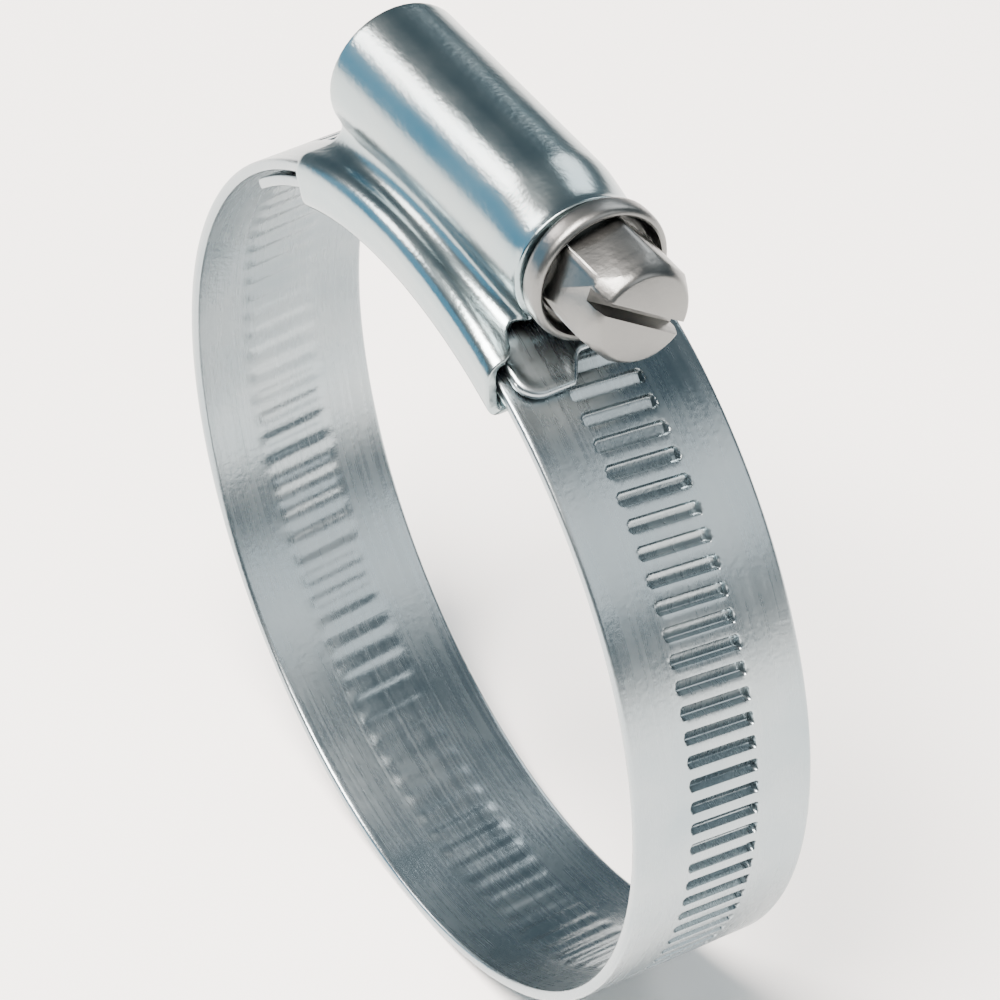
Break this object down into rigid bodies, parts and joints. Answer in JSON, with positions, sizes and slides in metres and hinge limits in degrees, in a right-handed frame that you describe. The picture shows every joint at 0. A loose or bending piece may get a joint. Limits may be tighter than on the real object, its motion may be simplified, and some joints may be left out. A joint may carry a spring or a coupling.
{
  "type": "hose clamp",
  "caption": "Worm-drive hose clamp: a slotted steel band looped through a pressed housing and tightened by a hex-head screw.",
  "frame": {"origin": "centre of the hose bore, half way across the band", "axes": "+Y along the bore, +Z from the bore up through the housing, +X along the screw towards its head"},
  "size_m": [0.0588, 0.015, 0.0676],
  "materials": {
    "band_steel": "bright rolled stainless strip with pressed thread slots and rounded edges",
    "housing_steel": "bright pressed stainless sheet with smooth drawn bends",
    "screw_steel": "satin cold-headed stainless steel"
  },
  "bodies": {
    "clamp_frame": {"housing": "housing_steel", "band_fixed_end": "band_steel"},
    "screw": {"worm_screw": "screw_steel"},
    "free_end": {"band_free_end": "band_steel"},
    "span_1": {"band_span_1": "band_steel"},
    "span_2": {"band_span_2": "band_steel"},
    "span_3": {"band_span_3": "band_steel"},
    "span_4": {"band_span_4": "band_steel"},
    "span_5": {"band_span_5": "band_steel"},
    "span_6": {"band_span_6": "band_steel"},
    "span_7": {"band_span_7": "band_steel"},
    "span_8": {"band_span_8": "band_steel"}
  },
  "joints": [
    {"name": "screw_turn", "type": "hinge", "parent": "clamp_frame", "child": "screw", "pos_m": [0, 0, 0.03328], "axis": [-1, 0, 0], "range_deg": [0, 2160]},
    {"name": "free_end_slide", "type": "hinge", "parent": "clamp_frame", "child": "free_end", "pos_m": [0.00079, 0, 0], "axis": [0, 1, 0], "range_deg": [0, 20.75]},
    {"name": "span_1_flex", "type": "hinge", "parent": "clamp_frame", "child": "span_1", "pos_m": [0.02346, 0, 0.01705], "axis": [0, 1, 0], "range_deg": [0, 5.07]},
    {"name": "span_2_flex", "type": "hinge", "parent": "span_1", "child": "span_2", "pos_m": [0.02888, 0, 0.00265], "axis": [0, 1, 0], "range_deg": [0, 3.28]},
    {"name": "span_3_flex", "type": "hinge", "parent": "span_2", "child": "span_3", "pos_m": [0.02618, 0, -0.01248], "axis": [0, 1, 0], "range_deg": [0, 1.68]},
    {"name": "span_4_flex", "type": "hinge", "parent": "span_3", "child": "span_4", "pos_m": [0.01611, 0, -0.02411], "axis": [0, 1, 0], "range_deg": [0, 0.709]},
    {"name": "span_5_flex", "type": "hinge", "parent": "span_4", "child": "span_5", "pos_m": [0.00152, 0, -0.02896], "axis": [0, 1, 0], "range_deg": [0, 0.646]},
    {"name": "span_6_flex", "type": "hinge", "parent": "span_5", "child": "span_6", "pos_m": [-0.0135, 0, -0.02567], "axis": [0, 1, 0], "range_deg": [0, 1.51]},
    {"name": "span_7_flex", "type": "hinge", "parent": "span_6", "child": "span_7", "pos_m": [-0.02473, 0, -0.01515], "axis": [0, 1, 0], "range_deg": [0, 3.06]},
    {"name": "span_8_flex", "type": "hinge", "parent": "span_7", "child": "span_8", "pos_m": [-0.029, 0, -0.00038], "axis": [0, 1, 0], "range_deg": [0, 4.86]}
  ],
  "couplings": [
    {"joint": "free_end_slide", "follows": "screw_turn", "ratio": 0.009603},
    {"joint": "span_1_flex", "follows": "screw_turn", "ratio": 0.0023419},
    {"joint": "span_2_flex", "follows": "screw_turn", "ratio": 0.0015159},
    {"joint": "span_3_flex", "follows": "screw_turn", "ratio": 0.00077309},
    {"joint": "span_4_flex", "follows": "screw_turn", "ratio": 0.0003236},
    {"joint": "span_5_flex", "follows": "screw_turn", "ratio": 0.00029452},
    {"joint": "span_6_flex", "follows": "screw_turn", "ratio": 0.00069447},
    {"joint": "span_7_flex", "follows": "screw_turn", "ratio": 0.0014121},
    {"joint": "span_8_flex", "follows": "screw_turn", "ratio": 0.0022473}
  ]
}
